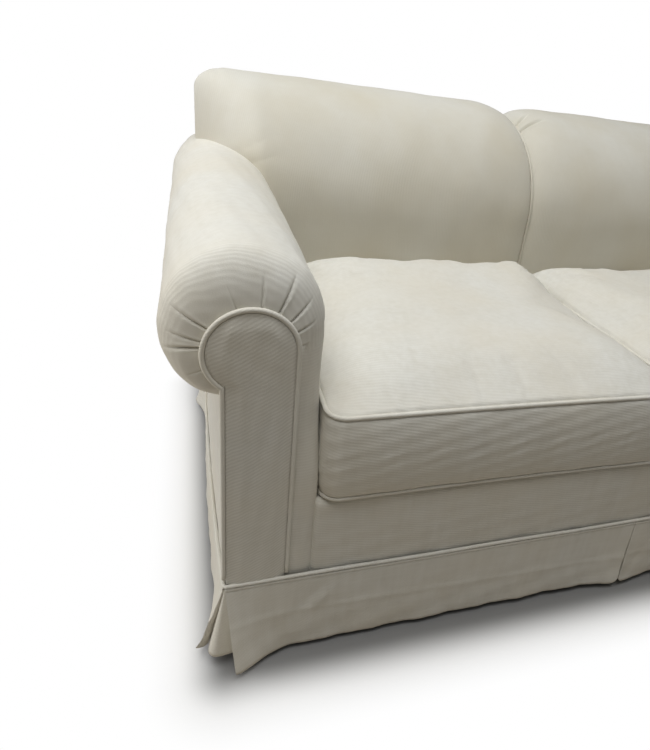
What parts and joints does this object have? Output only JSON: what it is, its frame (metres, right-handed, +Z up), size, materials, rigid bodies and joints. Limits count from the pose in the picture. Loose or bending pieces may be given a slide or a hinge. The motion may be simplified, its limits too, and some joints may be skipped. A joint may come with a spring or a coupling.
{
  "type": "loveseat",
  "caption": "Skirted loveseat with rolled arms, scroll facings, loose boxed seat cushions and a tight back; cushions lift out.",
  "frame": {"origin": "on the floor, in the middle of the whole object's width and depth", "axes": "+X to the right seen from the front, +Y to the back, +Z up"},
  "size_m": [1.596, 0.896, 0.8053],
  "materials": {
    "cover_fabric": "fine cream twill upholstery",
    "welt_fabric": "self-fabric welt cord",
    "frame_wood": "planed hardwood",
    "leg_wood": "stained hardwood",
    "steel": "zinc plated",
    "glide": "moulded",
    "webbing": "jute webbing",
    "foam": "open cell foam",
    "deck_fabric": "plain deck cloth",
    "dust_fabric": "black non-woven cloth",
    "zip_tape": "zip tape and chain"
  },
  "bodies": {
    "base": {"arm_boards": "frame_wood", "arm_facing_left": "cover_fabric", "arm_facing_right": "cover_fabric", "arm_pad_left": "cover_fabric", "arm_pad_right": "cover_fabric", "arm_tack_rails": "frame_wood", "back_mid_rail": "frame_wood", "back_pad_left": "cover_fabric", "back_pad_right": "cover_fabric", "back_post_left": "frame_wood", "back_post_right": "frame_wood", "back_seam_welt": "welt_fabric", "back_top_rail": "frame_wood", "back_upright": "frame_wood", "back_webbing": "webbing", "block_screws": "steel", "centre_stretcher": "frame_wood", "corner_blocks": "frame_wood", "deck_cloth": "deck_fabric", "deck_pad": "foam", "dust_cover": "dust_fabric", "facing_welts": "welt_fabric", "frame_dowels": "frame_wood", "front_border": "cover_fabric", "front_post_left": "frame_wood", "front_post_right": "frame_wood", "front_rail": "frame_wood", "leg_bolts": "steel", "leg_glides": "glide", "legs": "leg_wood", "outside_arm_left": "cover_fabric", "outside_arm_right": "cover_fabric", "outside_back": "cover_fabric", "rear_arm_posts": "frame_wood", "rear_rail": "frame_wood", "seat_springs": "steel", "side_rail_left": "frame_wood", "side_rail_right": "frame_wood", "skirt_centre_inserts": "cover_fabric", "skirt_corner_inserts": "cover_fabric", "skirt_front_left": "cover_fabric", "skirt_front_right": "cover_fabric", "skirt_rear_left": "cover_fabric", "skirt_rear_right": "cover_fabric", "skirt_side_left": "cover_fabric", "skirt_side_right": "cover_fabric", "skirt_welt": "welt_fabric", "spring_clips": "steel"},
    "cushion_left": {"seat_cover_left": "cover_fabric", "seat_core_left": "foam", "seat_welts_left": "welt_fabric", "seat_zip_left": "zip_tape"},
    "slider_left": {"zip_slider_left": "steel"},
    "cushion_right": {"seat_cover_right": "cover_fabric", "seat_core_right": "foam", "seat_welts_right": "welt_fabric", "seat_zip_right": "zip_tape"},
    "slider_right": {"zip_slider_right": "steel"}
  },
  "joints": [
    {"name": "cushion_left_lift", "type": "slide", "parent": "base", "child": "cushion_left", "axis": [0, 0, 1], "range_m": [0, 0.6]},
    {"name": "zip_left_slide", "type": "slide", "parent": "cushion_left", "child": "slider_left", "axis": [1, 0, 0], "range_m": [0, 0.493]},
    {"name": "cushion_right_lift", "type": "slide", "parent": "base", "child": "cushion_right", "axis": [0, 0, 1], "range_m": [0, 0.6]},
    {"name": "zip_right_slide", "type": "slide", "parent": "cushion_right", "child": "slider_right", "axis": [-1, 0, 0], "range_m": [0, 0.493]}
  ]
}
